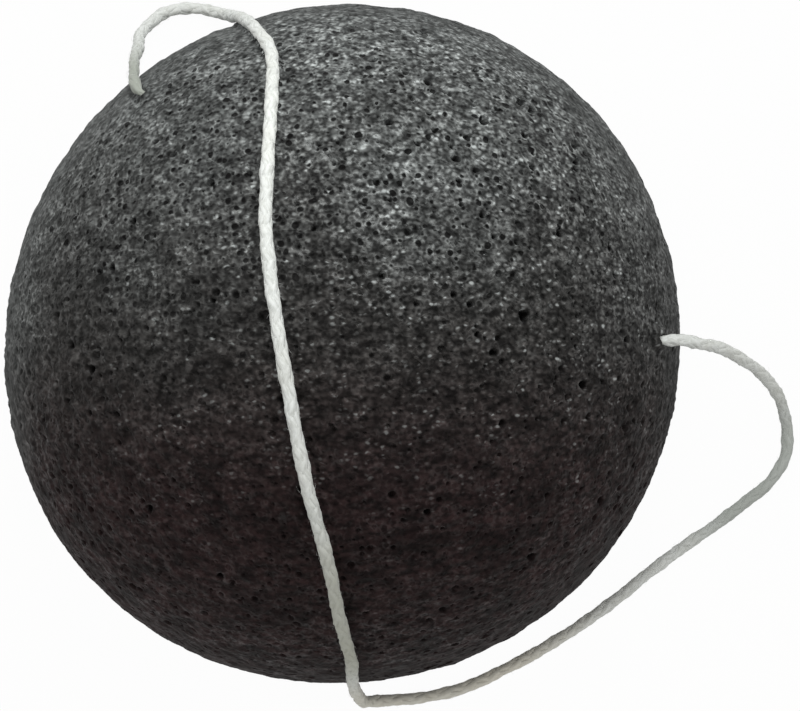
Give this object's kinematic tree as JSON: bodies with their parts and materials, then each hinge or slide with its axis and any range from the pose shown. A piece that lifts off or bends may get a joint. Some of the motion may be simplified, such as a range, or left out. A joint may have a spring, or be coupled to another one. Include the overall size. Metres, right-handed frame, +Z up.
{
  "type": "konjac sponge",
  "caption": "Soft half-ball facial sponge of charcoal open-cell foam with a flat side, threaded with a closed loop of cotton string to hang it by.",
  "frame": {"origin": "centre of the sponge's flat side, which is the face it stands on", "axes": "+Z up along the dome's axis; +X towards the mouth at which the string leaves the sponge's side and falls free; +Y towards the side where the string's second, shorter bend lies"},
  "size_m": [0.0942, 0.0849, 0.0392],
  "materials": {
    "charcoal_foam": "matt, porous",
    "cotton_string": "soft, slightly fuzzy"
  },
  "bodies": {
    "root": {"sponge": "charcoal_foam", "string_loop": "cotton_string", "string_inner_run": "cotton_string", "string_knot": "cotton_string"}
  },
  "joints": []
}
